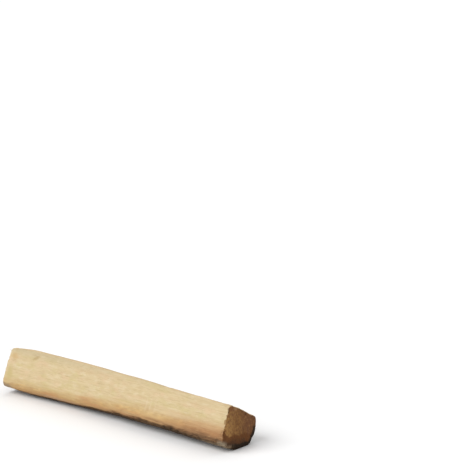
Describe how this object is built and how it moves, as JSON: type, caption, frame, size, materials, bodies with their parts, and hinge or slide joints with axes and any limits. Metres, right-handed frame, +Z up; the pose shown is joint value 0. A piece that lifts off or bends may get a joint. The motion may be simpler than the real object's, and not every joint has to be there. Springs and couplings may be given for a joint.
{
  "type": "palo santo stick",
  "caption": "Split stick of pale palo santo wood with a flat face, a sharp ridge, a rounded outer side and darker sawn ends, for burning as incense.",
  "frame": {"origin": "middle of the footprint's box, on the plane that the stick rests on", "axes": "+X along the stick, towards the end whose sawn face is seen in the picture; +Z up; the steep flat face is on the -Y side"},
  "size_m": [0.1006, 0.0168, 0.0162],
  "materials": {
    "palo_santo_wood": "raw split wood, matt, pale cream with an orange-brown edge and brown end grain"
  },
  "bodies": {
    "root": {"palo_santo_stick": "palo_santo_wood"}
  },
  "joints": []
}
